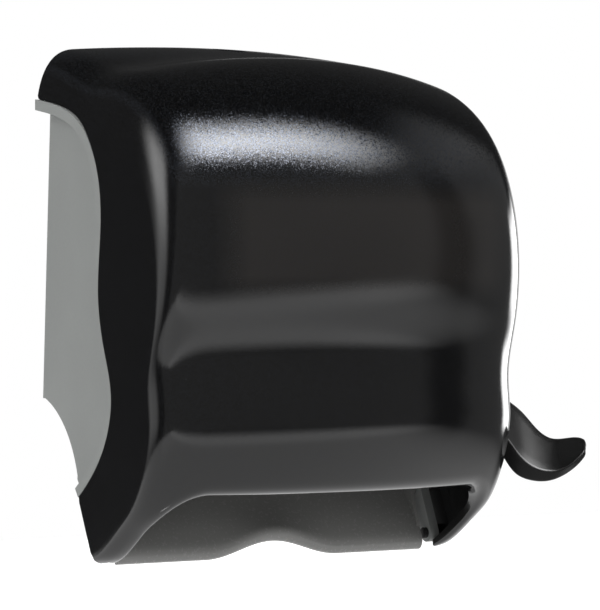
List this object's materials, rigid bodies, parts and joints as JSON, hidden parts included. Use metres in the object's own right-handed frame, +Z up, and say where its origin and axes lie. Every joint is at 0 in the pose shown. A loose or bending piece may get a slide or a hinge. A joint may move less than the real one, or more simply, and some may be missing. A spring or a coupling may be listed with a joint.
{
  "type": "lever paper towel dispenser",
  "caption": "Wall-hung roll towel dispenser with a moulded see-through cover, an arched outlet and a side lever that feeds the towel through rollers.",
  "frame": {"origin": "centre of the four wall screw holes, on the wall plate's back face", "axes": "+Z up, +Y back into the wall, +X to the right as seen from the front"},
  "size_m": [0.3177, 0.2142, 0.3259],
  "materials": {
    "chassis_grey": "satin moulded",
    "smoke_cover": "glossy see-through smoke",
    "chute_grey": "satin moulded",
    "lever_black": "satin moulded",
    "mechanism_grey": "fine matte moulded",
    "gear_white": "smooth acetal",
    "wheel_green": "satin moulded",
    "roller_rubber": "ribbed rubber",
    "steel": "drawn steel",
    "spring_steel": "bright wire",
    "lock_chrome": "polished plate",
    "bush_brass": "turned",
    "bumper_rubber": "soft black"
  },
  "bodies": {
    "chassis": {"back_chassis": "chassis_grey", "cover_hinge_pins": "lever_black", "towel_chute": "chute_grey", "side_frame_right": "mechanism_grey", "side_frame_left": "mechanism_grey", "side_frame_screws": "steel", "drive_bushes": "gear_white", "pressure_springs": "spring_steel", "tear_blade": "steel", "tear_blade_screws": "steel", "paper_guide": "mechanism_grey", "lever_bush": "bush_brass", "lever_stop_bumper": "bumper_rubber", "roll_arm_left": "mechanism_grey", "arm_pins": "steel", "lock_keeper": "steel", "lock_keeper_screws": "steel"},
    "cover": {"front_cover": "smoke_cover", "lock_housing": "lock_chrome", "lock_nut": "steel"},
    "lock": {"lock_plug": "lock_chrome", "lock_cam": "steel", "lock_screw": "steel"},
    "lever": {"lever": "lever_black", "lever_shaft": "steel", "lever_screw": "steel", "lever_clip": "spring_steel", "sector_gear": "gear_white", "lever_return_spring": "spring_steel"},
    "drive_roller": {"drive_shaft": "steel", "drive_drum": "mechanism_grey", "drive_sleeves": "roller_rubber", "feed_wheel": "wheel_green", "pinion_gear": "gear_white", "clutch_ratchet": "steel"},
    "pressure_roller": {"pressure_shaft": "steel", "pressure_rollers": "mechanism_grey"},
    "right_arm": {"roll_arm_right": "mechanism_grey", "arm_spring": "spring_steel"},
    "right_hub": {"roll_hub_right": "gear_white"},
    "left_hub": {"roll_hub_left": "gear_white"}
  },
  "joints": [
    {"name": "cover_hinge", "type": "hinge", "parent": "chassis", "child": "cover", "pos_m": [0, -0.082, -0.185], "axis": [1, 0, 0], "range_deg": [0, 90]},
    {"name": "lock_turn", "type": "hinge", "parent": "cover", "child": "lock", "pos_m": [0, -0.024, 0.116], "axis": [0, 0, -1], "range_deg": [0, 90]},
    {"name": "lever_pivot", "type": "hinge", "parent": "chassis", "child": "lever", "pos_m": [0, -0.072, -0.096], "axis": [1, 0, 0], "range_deg": [0, 38], "stiffness_Nm_per_rad": 0.5, "springref_deg": -20.05},
    {"name": "drive_roller_spin", "type": "hinge", "parent": "chassis", "child": "drive_roller", "pos_m": [0, -0.11785, -0.11594], "axis": [1, 0, 0], "range_deg": [-152, 0]},
    {"name": "pressure_roller_spin", "type": "hinge", "parent": "chassis", "child": "pressure_roller", "pos_m": [0, -0.09617, -0.13413], "axis": [1, 0, 0], "range_deg": [0, 325]},
    {"name": "right_arm_hinge", "type": "hinge", "parent": "chassis", "child": "right_arm", "pos_m": [0.1056, -0.011, 0.012], "axis": [0, 0, 1], "range_deg": [0, 4.2], "stiffness_Nm_per_rad": 0.4, "springref_deg": -5.73},
    {"name": "right_hub_spin", "type": "hinge", "parent": "right_arm", "child": "right_hub", "pos_m": [0.103, -0.105, 0.012], "axis": [1, 0, 0], "continuous": true},
    {"name": "left_hub_spin", "type": "hinge", "parent": "chassis", "child": "left_hub", "pos_m": [-0.103, -0.105, 0.012], "axis": [1, 0, 0], "continuous": true}
  ],
  "couplings": [
    {"joint": "drive_roller_spin", "follows": "lever_pivot", "ratio": -4},
    {"joint": "pressure_roller_spin", "follows": "lever_pivot", "ratio": 8.4444}
  ]
}
